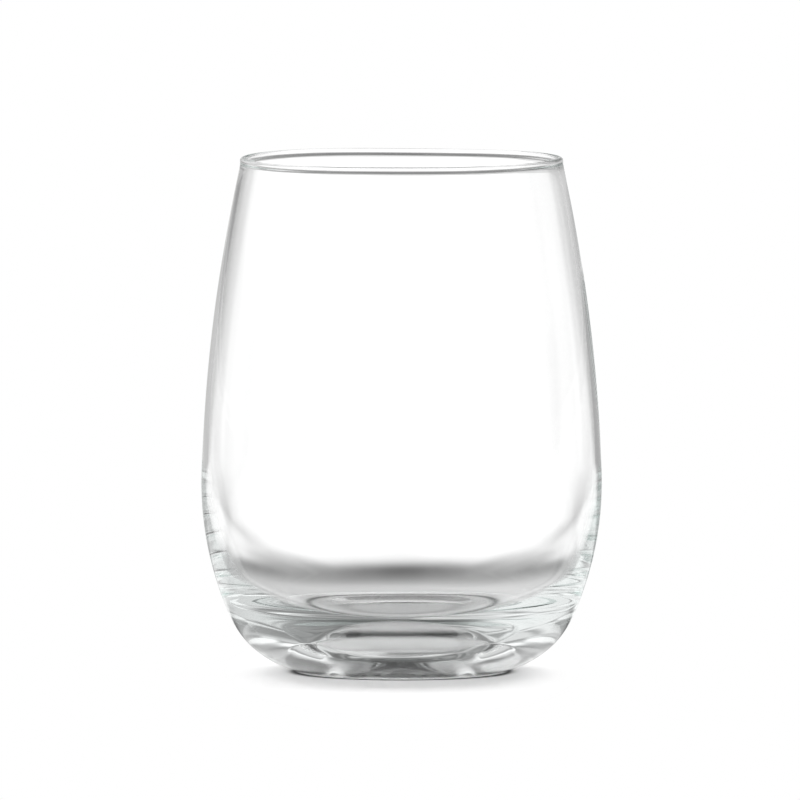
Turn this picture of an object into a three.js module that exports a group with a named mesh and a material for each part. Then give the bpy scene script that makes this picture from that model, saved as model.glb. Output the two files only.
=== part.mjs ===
// Stemless glass tumbler: one piece of clear glass, turned about +Z and standing on z = 0.
// Its section is a chain of tangent arcs, from the underside up the outside, over the lip
// and down the inside to the floor of the bowl. All sizes are millimetres.
import * as THREE from 'three';

// Outside of the bowl
const HEIGHT = 110.4;           // table to the top of the lip
const MOUTH_RADIUS = 34.7;      // outside of the lip
const BELLY_RADIUS = 43;        // outside at the widest level
const BELLY_HEIGHT = 40.6;      // level of the widest point
const SHOULDER_ARC = 357;       // long curve from the belly up to the lip
const BELLY_ARC = 70;           // curve through the widest point
const FOOT_RADIUS = 21;         // outer edge of the ring it stands on
const HEEL_LEAN = 0.148;        // slope of the heel where it leaves the ring, in radians

// Thickness of the glass
const LIP_THICKNESS = 1.5;      // fire-polished bead round the mouth
const LIP_FILLET = 1.6;         // hollow where the bead runs into the wall
const MOUTH_WALL = 1.1;         // wall just under the bead
const BELLY_WALL = 1.45;        // wall near the widest level
const FLOOR_HEIGHT = 8;         // table to the floor of the bowl, on the axis

// Inside of the bowl
const INNER_BELLY_HEIGHT = 43.8; // level of the widest point of the inside
const INNER_BELLY_ARC = 56;     // curve of the inner wall through that point
const COVE_ARC = 22;            // corner between the inner wall and the floor
const DISH_RADIUS = 250;        // dish of the floor

// Underside
const RING_WIDTH = 1.5;         // flat ring that touches the table
const RING_ARC = 30;            // soft turn from the ring into the hollow
const PUNT_DEPTH = 1.6;         // hollow under the base, on the axis

// Facets
const SIDES = 72;
const STEPS = {
  punt: 5, ring: 3, heel: 10, lowerBelly: 6, upperBelly: 1, shoulder: 8,
  fillet: 2, bead: 4, innerBelly: 6, cove: 10, dish: 4,
};

const UP = Math.PI / 2;
const DOWN = -UP;

// Points of an arc about centre, from one angle to another, without its first point.
function arc(centre, radius, from, to, steps) {
  return Array.from({ length: steps }, (_, i) => {
    const angle = from + ((to - from) * (i + 1)) / steps;
    return onCircle(centre, radius, angle);
  });
}

function onCircle(centre, radius, angle) {
  return new THREE.Vector2(
    centre.x + radius * Math.cos(angle),
    centre.y + radius * Math.sin(angle),
  );
}

// The meeting point of two circles that lies on the left of the way from a to b.
function meet(a, radiusA, b, radiusB) {
  const way = b.clone().sub(a);
  const gap = way.length();
  const along = (gap * gap + radiusA * radiusA - radiusB * radiusB) / (2 * gap);
  const across = Math.sqrt(radiusA * radiusA - along * along);
  way.divideScalar(gap);
  return new THREE.Vector2(
    a.x + way.x * along - way.y * across,
    a.y + way.y * along + way.x * across,
  );
}

const angleOf = (from, to) => Math.atan2(to.y - from.y, to.x - from.x);

// Outside: the heel rises from the foot and runs into the belly, and the belly into the shoulder.
const beadRadius = LIP_THICKNESS / 2;
const bead = new THREE.Vector2(MOUTH_RADIUS - beadRadius, HEIGHT - beadRadius);
const belly = new THREE.Vector2(BELLY_RADIUS - BELLY_ARC, BELLY_HEIGHT);
const heelReach = FOOT_RADIUS - belly.x;
const heelFall = heelReach * Math.sin(HEEL_LEAN) + belly.y * Math.cos(HEEL_LEAN);
const heelArc = (BELLY_ARC ** 2 - belly.y ** 2 - heelReach ** 2) / (2 * (BELLY_ARC - heelFall));
const heel = onCircle(new THREE.Vector2(FOOT_RADIUS, 0), heelArc, UP + HEEL_LEAN);
const heelTop = angleOf(belly, heel);
const shoulder = meet(belly, SHOULDER_ARC - BELLY_ARC, bead, SHOULDER_ARC - MOUTH_WALL / 2);
const bellyTop = angleOf(shoulder, belly);
const mouthLean = angleOf(shoulder, bead);

// Lip: a round bead on the wall's middle line, with the same hollow below it on both sides.
const filletDrop = Math.sqrt((beadRadius + LIP_FILLET) ** 2 - (MOUTH_WALL / 2 + LIP_FILLET) ** 2);
const filletTurn = Math.asin(filletDrop / (beadRadius + LIP_FILLET));
const outward = onCircle(new THREE.Vector2(), 1, mouthLean);
const upward = onCircle(new THREE.Vector2(), 1, mouthLean + UP);
const besideBead = (side) => bead.clone()
  .addScaledVector(outward, side * (MOUTH_WALL / 2 + LIP_FILLET))
  .addScaledVector(upward, -filletDrop);

// Inside: a wall that thickens from the lip to the heel, a round corner and a dished floor.
const innerBelly = new THREE.Vector2(BELLY_RADIUS - BELLY_WALL - INNER_BELLY_ARC, INNER_BELLY_HEIGHT);
const innerMouth = bead.clone().addScaledVector(outward, -MOUTH_WALL / 2);
const rise = innerMouth.clone().sub(innerBelly);
const innerShoulderArc = (rise.lengthSq() - INNER_BELLY_ARC ** 2)
  / (2 * (rise.dot(outward) - INNER_BELLY_ARC));
const innerShoulder = innerMouth.clone().addScaledVector(outward, -innerShoulderArc);
const innerShoulderTop = mouthLean - filletDrop / innerShoulderArc;
const innerBellyTop = innerShoulderArc > 0
  ? angleOf(innerShoulder, innerBelly)
  : angleOf(innerBelly, innerShoulder);
const dish = new THREE.Vector2(0, FLOOR_HEIGHT + DISH_RADIUS);
const cove = meet(dish, DISH_RADIUS - COVE_ARC, innerBelly, INNER_BELLY_ARC - COVE_ARC);
const coveTop = angleOf(innerBelly, cove);
const coveFoot = angleOf(dish, cove);

// Underside: a shallow dome that turns softly into the standing ring.
const ring = new THREE.Vector2(FOOT_RADIUS - RING_WIDTH, RING_ARC);
const puntArc = (ring.x ** 2 + PUNT_DEPTH ** 2) / (2 * PUNT_DEPTH) - RING_ARC;
const punt = new THREE.Vector2(0, PUNT_DEPTH - puntArc);
const puntEdge = angleOf(punt, ring);

function section() {
  return [
    new THREE.Vector2(0, PUNT_DEPTH),
    ...arc(punt, puntArc, UP, puntEdge, STEPS.punt),
    ...arc(ring, RING_ARC, puntEdge - Math.PI, DOWN, STEPS.ring),
    new THREE.Vector2(FOOT_RADIUS, 0),
    ...arc(heel, heelArc, DOWN + HEEL_LEAN, heelTop, STEPS.heel),
    ...arc(belly, BELLY_ARC, heelTop, 0, STEPS.lowerBelly),
    ...arc(belly, BELLY_ARC, 0, bellyTop, STEPS.upperBelly),
    ...arc(shoulder, SHOULDER_ARC, bellyTop, mouthLean - filletDrop / SHOULDER_ARC, STEPS.shoulder),
    ...arc(besideBead(1), LIP_FILLET, mouthLean - Math.PI, mouthLean - Math.PI - filletTurn, STEPS.fillet),
    ...arc(bead, beadRadius, mouthLean - filletTurn, UP, STEPS.bead),
    ...arc(bead, beadRadius, UP, mouthLean + Math.PI + filletTurn, STEPS.bead),
    ...arc(besideBead(-1), LIP_FILLET, mouthLean + filletTurn, mouthLean, STEPS.fillet),
    ...arc(innerShoulder, innerShoulderArc, innerShoulderTop, innerBellyTop, STEPS.shoulder),
    ...arc(innerBelly, INNER_BELLY_ARC, innerBellyTop, coveTop, STEPS.innerBelly),
    ...arc(cove, COVE_ARC, coveTop, coveFoot, STEPS.cove),
    ...arc(dish, DISH_RADIUS, coveFoot, DOWN, STEPS.dish),
  ];
}

const glass = new THREE.MeshStandardMaterial({ color: 0xe9f0ee, roughness: 0.03, metalness: 0 });

function glassBody() {
  const geometry = new THREE.LatheGeometry(section(), SIDES);
  geometry.rotateX(UP);
  const mesh = new THREE.Mesh(geometry, glass);
  mesh.name = 'glass_body';
  return mesh;
}

const tumbler = new THREE.Group();
tumbler.add(glassBody());

export default tumbler;
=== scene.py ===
"""Looks of the stemless glass tumbler: clear blown glass on a white table in soft studio light."""
import math

import bpy
import numpy as np
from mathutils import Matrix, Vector


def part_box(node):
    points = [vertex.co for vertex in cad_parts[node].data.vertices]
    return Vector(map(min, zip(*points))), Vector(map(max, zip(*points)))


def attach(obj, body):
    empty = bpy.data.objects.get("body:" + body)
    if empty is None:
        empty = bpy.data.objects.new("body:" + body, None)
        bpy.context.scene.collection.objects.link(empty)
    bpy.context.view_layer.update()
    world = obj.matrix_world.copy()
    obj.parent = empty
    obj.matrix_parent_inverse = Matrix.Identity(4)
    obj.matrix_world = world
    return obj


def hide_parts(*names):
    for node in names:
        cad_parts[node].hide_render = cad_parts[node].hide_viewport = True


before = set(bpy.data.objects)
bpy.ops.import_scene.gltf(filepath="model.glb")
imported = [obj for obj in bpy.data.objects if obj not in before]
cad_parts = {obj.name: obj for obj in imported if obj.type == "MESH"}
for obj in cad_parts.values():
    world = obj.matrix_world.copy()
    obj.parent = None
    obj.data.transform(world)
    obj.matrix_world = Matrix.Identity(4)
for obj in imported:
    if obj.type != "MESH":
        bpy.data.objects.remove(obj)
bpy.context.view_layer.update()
cad_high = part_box("glass_body")[1]
scene = bpy.context.scene

MM = 0.001
UP = math.pi / 2
DOWN = -UP

# Outside of the glass, as in the solid
HEIGHT = cad_high.z
BELLY_RADIUS = cad_high.x
MOUTH_RADIUS = 34.7 * MM
BELLY_HEIGHT = 40.6 * MM
SHOULDER_ARC = 357 * MM
BELLY_ARC = 70 * MM
FOOT_RADIUS = 21 * MM
HEEL_LEAN = 0.148

# Lip, inside and underside, as in the solid
LIP_THICKNESS = 1.5 * MM
LIP_FILLET = 1.6 * MM
MOUTH_WALL = 1.1 * MM
BELLY_WALL = 1.45 * MM
FLOOR_HEIGHT = 8 * MM
INNER_BELLY_HEIGHT = 43.8 * MM
INNER_BELLY_ARC = 56 * MM
COVE_ARC = 22 * MM
DISH_RADIUS = 250 * MM
RING_WIDTH = 1.5 * MM
RING_ARC = 30 * MM
PUNT_DEPTH = 1.6 * MM

# Fineness of the mesh
SIDES = 288
STEP = 0.9 * MM
TURN = math.radians(9)

# Unevenness of blown glass: sizes, and waves round the axis as count, strength and phase
RIM_WAVE = 0.10 * MM
RIM_WAVE_DEPTH = 6 * MM
RIM_WAVES = ((2, 1.0, 0.8), (3, 0.7, -1.1), (5, 0.4, 2.0))
WALL_WAVE = 0.08 * MM
WALL_WAVES = ((1, 1.0, -0.6), (2, 0.6, 1.9))
WALL_WAVE_START = (5 * MM, 25 * MM)
SPIRAL_COUNT = 4
SPIRAL_STRENGTH = 0.35
SPIRAL_RISE = 9 * MM
FLOOR_TILT = 0.15 * MM
FLOOR_TILT_PHASE = 0.9
FLOOR_TILT_DEPTH = 20 * MM

# Glass: clear, a very little green where it is thick, and with a faint haze
REFRACTION = 1.51
GLASS_TINT = (0.80, 0.93, 0.90, 1)
GLASS_DENSITY = 2.5
HAZE_SCALE = 90
HAZE_DETAIL = 3
HAZE_SPAN = (0.35, 0.75)
HAZE_ROUGHNESS = 0.012

# Camera
CAMERA_DISTANCE = 6.0
CAMERA_TILT = math.radians(3.61)
SENSOR = 36.0
FRAME_WIDTH = 171.53 * MM
AIM = Vector((-0.34 * MM, 0, 58.3 * MM))

# Table: it keeps the shadow in a long pool round the glass and is plain white outside it
TABLE_SIZE = 12.0
TABLE_DROP = 0.05 * MM
TABLE_WHITE = 0.9
POOL_START = 0.06
POOL_END = 0.115
POOL_LENGTH = 3

# Painted shade on the table's colour under the foot: a painted contact shadow round the standing ring and
# a fainter ring where the foot bends light away; radius, softness and depth of each
PAINTED_FOOT_SHADE = ((13.5 * MM, 1.8 * MM, 0.22), (23 * MM, 1.3 * MM, 1.0))

# What only the glass shows: a white sheet and low sky, grey wedges between eight gaps (angles in degrees)
SHEET_RADIUS = 6.0
SHEET_HOLE = 0.03
SHEET_LIFT = 0.05 * MM
SHEET_WHITE = 1.12
WEDGE_PERIOD = 45
WEDGE_GREY = 0.485
WEDGE_TILT = 0.075
WEDGE_GAP = 8
WEDGE_OFFSET = 0.034
WEDGE_SOFT = 4.5
WEDGE_LEAST = 2
WEDGE_START = (0.102, 0.138)
SKY_WHITE = 0.8
SKY_GREY = 0.47
SKY_TILT = -0.15
SKY_LOW = (2, 5)

# Painted shadow of the glass on the table, as a dark ring on the sheet, nearer, wider and fainter between
# the gaps; and the sheet inside it, dimmed as painted shade near the foot
SHADOW_RING_DARK = 0.84
SHADOW_RING_MIDDLE = 0.0685
SHADOW_RING_SHIFT = 0.006
SHADOW_RING_BEND = (0, WEDGE_PERIOD / 2)
SHADOW_RING_SPREAD = 0.017
SHADOW_RING_CORNER = 0.045
SHADOW_RING_CORNER_DARK = 0.58
SHADOW_RING_WIDEN = (12, WEDGE_PERIOD / 2)
NEAR_SHADE_LEVEL = 0.75
NEAR_SHADE_EDGE = (0.055, 0.085)

# Light on the table from high up behind
LIGHT_LEAST = 0.45
LIGHT_MOST = 4.6
LIGHT_SPAN = (0.58, 0.95)
LIGHT_ELEVATION = math.radians(55)
LIGHT_FROM = Vector((0, math.cos(LIGHT_ELEVATION), math.sin(LIGHT_ELEVATION)))

# Studio above the low sky: brightness by elevation in degrees
STUDIO_LIGHT = (
    (0, 0.6), (4, 0.5), (10, 0.25), (24, 0.2), (32, 0.3), (50, 0.3), (60, 0.12), (70, 0.05), (90, 0.05),
)

# Soft lights that the glass shows: side, brightness, and soft edges in degrees (near, far, bottom, top)
SOFT_LIGHTS = (
    (-1, 0.95, (45, 65), (172, 155), (3, 6), (66, 58)),
    (-1, 0.75, (2, 9), (52, 40), (3, 6), (44, 36)),
    (1, 0.75, (64, 80), (172, 155), (3, 6), (52, 44)),
)

# Light inside thick glass is turned back many times
BOUNCES = 128


def on_circle(centre, radius, angle):
    return (centre[0] + radius * math.cos(angle), centre[1] + radius * math.sin(angle))


def arc(centre, radius, start, end):
    """Points of an arc, without its first one."""
    turn = abs(end - start)
    count = max(math.ceil(turn * radius / STEP), math.ceil(turn / TURN))
    return [on_circle(centre, radius, start + (end - start) * (i + 1) / count) for i in range(count)]


def angle_of(start, end):
    return math.atan2(end[1] - start[1], end[0] - start[0])


def meet(a, radius_a, b, radius_b):
    """The meeting point of two circles that lies on the left of the way from a to b."""
    gap = math.dist(a, b)
    along = (gap ** 2 + radius_a ** 2 - radius_b ** 2) / (2 * gap)
    across = math.sqrt(radius_a ** 2 - along ** 2)
    way = ((b[0] - a[0]) / gap, (b[1] - a[1]) / gap)
    return (a[0] + way[0] * along - way[1] * across, a[1] + way[1] * along + way[0] * across)


def underside():
    """From the axis over the hollow and the standing ring to the foot's outer edge."""
    turn = (FOOT_RADIUS - RING_WIDTH, RING_ARC)
    dome = (turn[0] ** 2 + PUNT_DEPTH ** 2) / (2 * PUNT_DEPTH) - RING_ARC
    centre = (0, PUNT_DEPTH - dome)
    edge = angle_of(centre, turn)
    count = math.ceil(RING_WIDTH / STEP)
    ring = [(turn[0] + RING_WIDTH * (i + 1) / count, 0) for i in range(count)]
    return ([(0, PUNT_DEPTH)] + arc(centre, dome, UP, edge)
            + arc(turn, RING_ARC, edge - math.pi, DOWN) + ring)


bead_radius = LIP_THICKNESS / 2
bead = (MOUTH_RADIUS - bead_radius, HEIGHT - bead_radius)
belly = (BELLY_RADIUS - BELLY_ARC, BELLY_HEIGHT)
shoulder = meet(belly, SHOULDER_ARC - BELLY_ARC, bead, SHOULDER_ARC - MOUTH_WALL / 2)
lean = angle_of(shoulder, bead)
fillet_reach = MOUTH_WALL / 2 + LIP_FILLET
fillet_drop = math.sqrt((bead_radius + LIP_FILLET) ** 2 - fillet_reach ** 2)
fillet_turn = math.asin(fillet_drop / (bead_radius + LIP_FILLET))


def outside():
    """Heel, belly and shoulder, up to the hollow under the lip."""
    reach = FOOT_RADIUS - belly[0]
    fall = reach * math.sin(HEEL_LEAN) + belly[1] * math.cos(HEEL_LEAN)
    heel_arc = (BELLY_ARC ** 2 - belly[1] ** 2 - reach ** 2) / (2 * (BELLY_ARC - fall))
    heel = on_circle((FOOT_RADIUS, 0), heel_arc, UP + HEEL_LEAN)
    heel_top = angle_of(belly, heel)
    belly_top = angle_of(shoulder, belly)
    return (arc(heel, heel_arc, DOWN + HEEL_LEAN, heel_top)
            + arc(belly, BELLY_ARC, heel_top, belly_top)
            + arc(shoulder, SHOULDER_ARC, belly_top, lean - fillet_drop / SHOULDER_ARC))


def lip():
    """The fire-polished bead, with the same hollow under it on both sides."""
    def beside(side):
        across = on_circle(bead, side * fillet_reach, lean)
        return on_circle(across, -fillet_drop, lean + UP)

    return (arc(beside(1), LIP_FILLET, lean - math.pi, lean - math.pi - fillet_turn)
            + arc(bead, bead_radius, lean - fillet_turn, lean + math.pi + fillet_turn)
            + arc(beside(-1), LIP_FILLET, lean + fillet_turn, lean))


def inside():
    """Inner wall, rounded corner and dished floor, down to the axis."""
    inner_belly = (BELLY_RADIUS - BELLY_WALL - INNER_BELLY_ARC, INNER_BELLY_HEIGHT)
    mouth = on_circle(bead, -MOUTH_WALL / 2, lean)
    rise = (mouth[0] - inner_belly[0], mouth[1] - inner_belly[1])
    along = rise[0] * math.cos(lean) + rise[1] * math.sin(lean)
    wall_arc = (rise[0] ** 2 + rise[1] ** 2 - INNER_BELLY_ARC ** 2) / (2 * (along - INNER_BELLY_ARC))
    wall = on_circle(mouth, -wall_arc, lean)
    wall_foot = angle_of(wall, inner_belly) if wall_arc > 0 else angle_of(inner_belly, wall)
    dish = (0, FLOOR_HEIGHT + DISH_RADIUS)
    cove = meet(dish, DISH_RADIUS - COVE_ARC, inner_belly, INNER_BELLY_ARC - COVE_ARC)
    cove_top = angle_of(inner_belly, cove)
    cove_foot = angle_of(dish, cove)
    return (arc(wall, wall_arc, lean - fillet_drop / wall_arc, wall_foot)
            + arc(inner_belly, INNER_BELLY_ARC, wall_foot, cove_top)
            + arc(cove, COVE_ARC, cove_top, cove_foot)
            + arc(dish, DISH_RADIUS, cove_foot, DOWN))


def smooth(value, start, end):
    """0 before start, 1 after end, and a soft slope between them."""
    share = np.clip((value - start) / (end - start), 0, 1)
    return share * share * (3 - 2 * share)


def waves(angle, parts):
    return sum(strength * np.cos(count * angle + phase) for count, strength, phase in parts)


def glass_points():
    """The turned section as an array of rings, with the slight unevenness of blown glass."""
    outer = underside() + outside()
    inner = inside()
    section = np.array(outer + lip() + inner)[1:-1]
    is_inner = np.zeros(len(section))
    is_inner[-(len(inner) - 1):] = 1
    radius, height = section[:, :1], section[:, 1:]
    angle = np.arange(SIDES) * 2 * math.pi / SIDES
    near_rim = smooth(height, HEIGHT - RIM_WAVE_DEPTH, HEIGHT)
    spiral = SPIRAL_STRENGTH * np.cos(SPIRAL_COUNT * angle + height / SPIRAL_RISE)
    below_rim = is_inner[:, None] * (1 - near_rim) * smooth(radius, *WALL_WAVE_START)
    radius = radius + WALL_WAVE * (waves(angle, WALL_WAVES) + spiral) * below_rim
    on_floor = is_inner[:, None] * (1 - smooth(height, FLOOR_HEIGHT, FLOOR_HEIGHT + FLOOR_TILT_DEPTH))
    tilt = radius / BELLY_RADIUS * np.cos(angle + FLOOR_TILT_PHASE)
    height = height + RIM_WAVE * waves(angle, RIM_WAVES) * near_rim + FLOOR_TILT * on_floor * tilt
    return np.stack([radius * np.cos(angle), radius * np.sin(angle), height], axis=2)


def glass_mesh():
    rings = glass_points()
    rows = len(rings)
    poles = [(0, 0, PUNT_DEPTH), (0, 0, FLOOR_HEIGHT)]
    vertices = np.vstack([rings.reshape(-1, 3), poles])
    column = np.arange(SIDES)
    following = (column + 1) % SIDES
    start = np.arange(rows - 1)[:, None] * SIDES
    here = start + column
    beside = start + following
    quads = np.stack([here, beside, beside + SIDES, here + SIDES], axis=2)
    last = (rows - 1) * SIDES
    under = [(rows * SIDES, int(b), int(a)) for a, b in zip(column, following)]
    floor = [(rows * SIDES + 1, last + int(a), last + int(b)) for a, b in zip(column, following)]
    mesh = bpy.data.meshes.new("tumbler_glass")
    mesh.from_pydata(vertices.tolist(), [], quads.reshape(-1, 4).tolist() + under + floor)
    mesh.shade_smooth()
    return mesh


def new_material(name):
    material = bpy.data.materials.new(name)
    material.use_nodes = True
    material.node_tree.nodes.clear()
    return material, material.node_tree


def glass_material():
    material, tree = new_material("clear_glass")
    output = tree.nodes.new("ShaderNodeOutputMaterial")
    shader = tree.nodes.new("ShaderNodeBsdfPrincipled")
    shader.inputs["Base Color"].default_value = (1, 1, 1, 1)
    shader.inputs["IOR"].default_value = REFRACTION
    shader.inputs["Transmission Weight"].default_value = 1
    tree.links.new(shader.outputs["BSDF"], output.inputs["Surface"])

    place = tree.nodes.new("ShaderNodeTexCoord")
    haze = tree.nodes.new("ShaderNodeTexNoise")
    haze.inputs["Scale"].default_value = HAZE_SCALE
    haze.inputs["Detail"].default_value = HAZE_DETAIL
    tree.links.new(place.outputs["Object"], haze.inputs["Vector"])
    gloss = tree.nodes.new("ShaderNodeMapRange")
    gloss.inputs["From Min"].default_value = HAZE_SPAN[0]
    gloss.inputs["From Max"].default_value = HAZE_SPAN[1]
    gloss.inputs["To Min"].default_value = 0
    gloss.inputs["To Max"].default_value = HAZE_ROUGHNESS
    tree.links.new(haze.outputs["Fac"], gloss.inputs["Value"])
    tree.links.new(gloss.outputs["Result"], shader.inputs["Roughness"])

    body = tree.nodes.new("ShaderNodeVolumeAbsorption")
    body.inputs["Color"].default_value = GLASS_TINT
    body.inputs["Density"].default_value = GLASS_DENSITY
    tree.links.new(body.outputs["Volume"], output.inputs["Volume"])
    return material


def glass_object():
    glass = bpy.data.objects.new("tumbler_glass", glass_mesh())
    glass.data.materials.append(glass_material())
    scene.collection.objects.link(glass)
    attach(glass, "root")
    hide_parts("glass_body")


def feed(tree, value, socket):
    """Links another node's socket, or sets a number."""
    if isinstance(value, bpy.types.NodeSocket):
        tree.links.new(value, socket)
    else:
        socket.default_value = value


def calc(tree, operation, *values):
    """A maths node on sockets and numbers."""
    node = tree.nodes.new("ShaderNodeMath")
    node.operation = operation
    for socket, value in zip(node.inputs, values):
        feed(tree, value, socket)
    return node.outputs["Value"]


def soft_step(tree, value, start, end):
    """0 before start, 1 after end, and a soft slope between them."""
    node = tree.nodes.new("ShaderNodeMapRange")
    node.interpolation_type = "SMOOTHSTEP"
    feed(tree, value, node.inputs["Value"])
    feed(tree, start, node.inputs["From Min"])
    feed(tree, end, node.inputs["From Max"])
    return node.outputs["Result"]


def blend(tree, first, second, share):
    """first + (second - first) * share"""
    return calc(tree, "MULTIPLY_ADD", calc(tree, "SUBTRACT", second, first), share, first)


def bell(tree, value, middle, spread):
    """1 at the middle, and softly down to 0 on both sides."""
    across = calc(tree, "DIVIDE", calc(tree, "SUBTRACT", value, middle), spread)
    return calc(tree, "EXPONENT", calc(tree, "MULTIPLY", calc(tree, "MULTIPLY", across, across), -1))


def shade(tree, level, share, depth):
    """The level, darker by the depth where the share is 1."""
    return calc(tree, "MULTIPLY", level, calc(tree, "SUBTRACT", 1, calc(tree, "MULTIPLY", share, depth)))


def parts_of(tree, vector):
    """The x, y and z of a vector socket."""
    parts = tree.nodes.new("ShaderNodeSeparateXYZ")
    tree.links.new(vector, parts.inputs["Vector"])
    return parts.outputs["X"], parts.outputs["Y"], parts.outputs["Z"]


def distance(tree, x, y):
    """Distance from the axis."""
    return calc(tree, "SQRT", calc(tree, "MULTIPLY_ADD", x, x, calc(tree, "MULTIPLY", y, y)))


def turn_of(tree, x, y):
    """Turn about the axis in degrees, from straight behind."""
    return calc(tree, "DEGREES", calc(tree, "ARCTAN2", x, y))


def table_material():
    material, tree = new_material("white_table")
    output = tree.nodes.new("ShaderNodeOutputMaterial")
    table = tree.nodes.new("ShaderNodeBsdfDiffuse")
    white = tree.nodes.new("ShaderNodeEmission")
    path = tree.nodes.new("ShaderNodeLightPath")
    place = tree.nodes.new("ShaderNodeTexCoord")
    x, y, _ = parts_of(tree, place.outputs["Object"])
    away = distance(tree, x, y)
    # The table's colour, darkened by the painted shade rings under the foot
    colour = TABLE_WHITE
    for radius, spread, depth in PAINTED_FOOT_SHADE:
        colour = shade(tree, colour, bell(tree, away, radius, spread), depth)
    tree.links.new(colour, table.inputs["Color"])
    seen = calc(tree, "MAXIMUM", path.outputs["Is Camera Ray"], path.outputs["Is Glossy Ray"])
    seen = calc(tree, "MAXIMUM", seen, path.outputs["Is Transmission Ray"])
    pool = distance(tree, calc(tree, "MULTIPLY", x, POOL_LENGTH), y)
    share = calc(tree, "MULTIPLY", seen, soft_step(tree, pool, POOL_START, POOL_END))
    mix = tree.nodes.new("ShaderNodeMixShader")
    tree.links.new(share, mix.inputs["Fac"])
    tree.links.new(table.outputs["BSDF"], mix.inputs[1])
    tree.links.new(white.outputs["Emission"], mix.inputs[2])
    tree.links.new(mix.outputs["Shader"], output.inputs["Surface"])
    return material


def table_object():
    half = TABLE_SIZE / 2
    mesh = bpy.data.meshes.new("table")
    corners = [(-half, -half, 0), (half, -half, 0), (half, half, 0), (-half, half, 0)]
    mesh.from_pydata(corners, [], [(0, 1, 2, 3)])
    mesh.materials.append(table_material())
    table = bpy.data.objects.new("table", mesh)
    table.location.z = -TABLE_DROP
    scene.collection.objects.link(table)


def beside_gap(tree, turn):
    """Turn away from the middle of the nearest gap."""
    return calc(tree, "PINGPONG", turn, WEDGE_PERIOD / 2)


def wedges(tree, turn, edge, white, grey, tilt):
    """White in the gaps and grey between them, a little darker on one side of each gap."""
    start = calc(tree, "SUBTRACT", edge, WEDGE_SOFT)
    end = calc(tree, "ADD", edge, WEDGE_SOFT)
    share = soft_step(tree, beside_gap(tree, turn), start, end)
    swing = calc(tree, "SINE", calc(tree, "MULTIPLY", turn, math.pi / WEDGE_PERIOD))
    return blend(tree, white, calc(tree, "MULTIPLY_ADD", swing, -tilt, grey), share)


def sheet_material():
    material, tree = new_material("studio_sheet")
    output = tree.nodes.new("ShaderNodeOutputMaterial")
    glow = tree.nodes.new("ShaderNodeEmission")
    place = tree.nodes.new("ShaderNodeTexCoord")
    x, y, _ = parts_of(tree, place.outputs["Object"])
    away = distance(tree, x, y)
    turn = turn_of(tree, x, y)
    widening = calc(tree, "DEGREES", calc(tree, "DIVIDE", WEDGE_OFFSET, away))
    edge = calc(tree, "MINIMUM", calc(tree, "ADD", widening, WEDGE_GAP), WEDGE_PERIOD / 2 - WEDGE_LEAST)
    level = wedges(tree, turn, edge, SHEET_WHITE, WEDGE_GREY, WEDGE_TILT)
    level = blend(tree, SHEET_WHITE, level, soft_step(tree, away, *WEDGE_START))
    # Sheet dimmed near the glass as painted shade
    level = blend(tree, NEAR_SHADE_LEVEL, level, soft_step(tree, away, *NEAR_SHADE_EDGE))
    # Dark ring of painted shadow round the glass, seen only through it
    beside = beside_gap(tree, turn)
    bend = soft_step(tree, beside, *SHADOW_RING_BEND)
    middle = calc(tree, "MULTIPLY_ADD", bend, -SHADOW_RING_SHIFT, SHADOW_RING_MIDDLE)
    outer = calc(tree, "GREATER_THAN", away, middle)
    corner = calc(tree, "MULTIPLY", soft_step(tree, beside, *SHADOW_RING_WIDEN), outer)
    ring = bell(tree, away, middle, blend(tree, SHADOW_RING_SPREAD, SHADOW_RING_CORNER, corner))
    level = shade(tree, level, ring, blend(tree, SHADOW_RING_DARK, SHADOW_RING_CORNER_DARK, bend))
    tree.links.new(level, glow.inputs["Strength"])
    tree.links.new(glow.outputs["Emission"], output.inputs["Surface"])
    return material


def sheet_object():
    """Ring of sheet round the glass, hidden from the camera and without any shadow."""
    mesh = bpy.data.meshes.new("studio_sheet")
    points = []
    for i in range(SIDES):
        turn = i * 2 * math.pi / SIDES
        for radius in (SHEET_HOLE, SHEET_RADIUS):
            points.append((radius * math.cos(turn), radius * math.sin(turn), 0))
    faces = []
    for i in range(SIDES):
        j = (i + 1) % SIDES
        faces.append((2 * i, 2 * i + 1, 2 * j + 1, 2 * j))
    mesh.from_pydata(points, [], faces)
    mesh.materials.append(sheet_material())
    sheet = bpy.data.objects.new("studio_sheet", mesh)
    sheet.location.z = SHEET_LIFT - TABLE_DROP
    sheet.visible_camera = False
    sheet.visible_diffuse = False
    sheet.visible_shadow = False
    scene.collection.objects.link(sheet)


def by_elevation(tree, elevation, levels):
    """Brightness that runs softly through the levels given at some elevations."""
    total = levels[0][1]
    for (start, before), (end, after) in zip(levels, levels[1:]):
        if after != before:
            step = soft_step(tree, elevation, start, end)
            total = calc(tree, "MULTIPLY_ADD", step, after - before, total)
    return total


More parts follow.
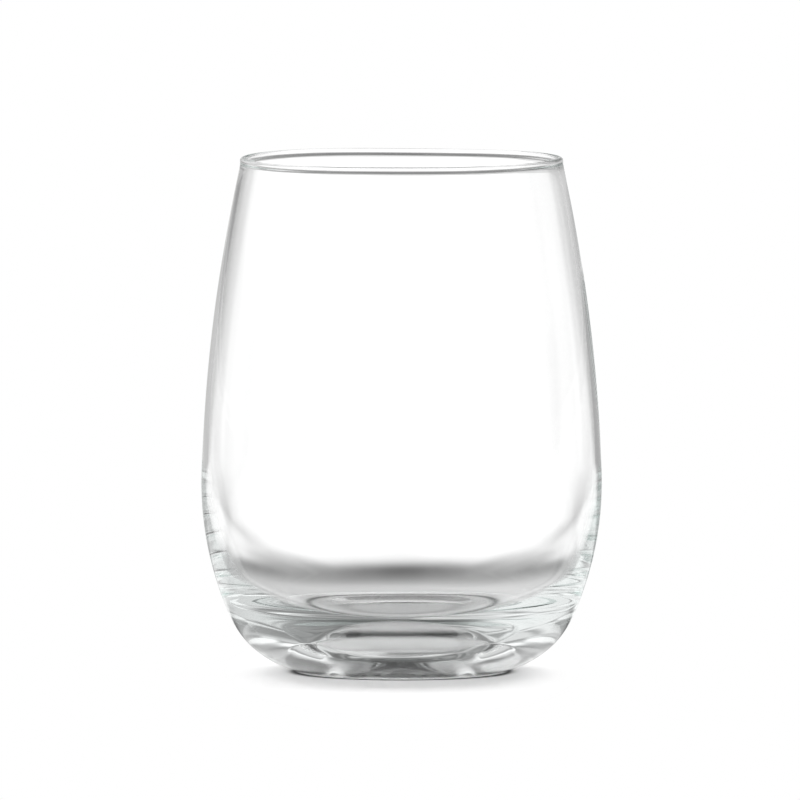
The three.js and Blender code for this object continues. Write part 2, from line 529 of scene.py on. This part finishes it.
def studio():
    """Soft light: white for the camera, one level for the table and another that the glass shows."""
    world = bpy.data.worlds.new("studio")
    scene.world = world
    world.use_nodes = True
    world.cycles.sampling_method = "NONE"
    tree = world.node_tree
    tree.nodes.clear()
    output = tree.nodes.new("ShaderNodeOutputWorld")
    light = tree.nodes.new("ShaderNodeBackground")
    light.inputs["Color"].default_value = (1, 1, 1, 1)
    place = tree.nodes.new("ShaderNodeTexCoord")
    x, y, z = parts_of(tree, place.outputs["Generated"])
    elevation = calc(tree, "DEGREES", calc(tree, "ARCSINE", z))
    turn = turn_of(tree, x, y)
    low = wedges(tree, turn, WEDGE_GAP, SKY_WHITE, SKY_GREY, SKY_TILT)
    high = by_elevation(tree, elevation, STUDIO_LIGHT)
    for side, brightness, near, far, bottom, top in SOFT_LIGHTS:
        around = calc(tree, "MULTIPLY", turn, side)
        share = 1
        for value, edge in ((around, near), (around, far), (elevation, bottom), (elevation, top)):
            share = calc(tree, "MULTIPLY", soft_step(tree, value, *edge), share)
        high = blend(tree, high, brightness, share)
    shown = blend(tree, low, high, soft_step(tree, elevation, *SKY_LOW))
    facing = tree.nodes.new("ShaderNodeVectorMath")
    facing.operation = "DOT_PRODUCT"
    tree.links.new(place.outputs["Generated"], facing.inputs[0])
    facing.inputs[1].default_value = LIGHT_FROM
    lit = blend(tree, LIGHT_LEAST, LIGHT_MOST, soft_step(tree, facing.outputs["Value"], *LIGHT_SPAN))
    path = tree.nodes.new("ShaderNodeLightPath")
    level = blend(tree, shown, lit, calc(tree, "MINIMUM", path.outputs["Diffuse Depth"], 1))
    level = blend(tree, level, 1, path.outputs["Is Camera Ray"])
    tree.links.new(level, light.inputs["Strength"])
    tree.links.new(light.outputs["Background"], output.inputs["Surface"])


def camera():
    """The photograph's view: a long lens, a little above the rim."""
    data = bpy.data.cameras.new("camera")
    eye = bpy.data.objects.new("camera", data)
    scene.collection.objects.link(eye)
    scene.camera = eye
    eye.location = (AIM.x, -CAMERA_DISTANCE, HEIGHT + CAMERA_DISTANCE * math.tan(CAMERA_TILT))
    way = AIM - eye.location
    eye.rotation_euler = way.to_track_quat("-Z", "Y").to_euler()
    data.sensor_width = SENSOR
    data.lens = SENSOR * way.length / FRAME_WIDTH
    data.clip_end = 2 * TABLE_SIZE


scene.view_settings.view_transform = "Standard"
scene.cycles.use_denoising = True
scene.cycles.max_bounces = BOUNCES
scene.cycles.transmission_bounces = BOUNCES
scene.cycles.glossy_bounces = BOUNCES
glass_object()
table_object()
sheet_object()
studio()
camera()
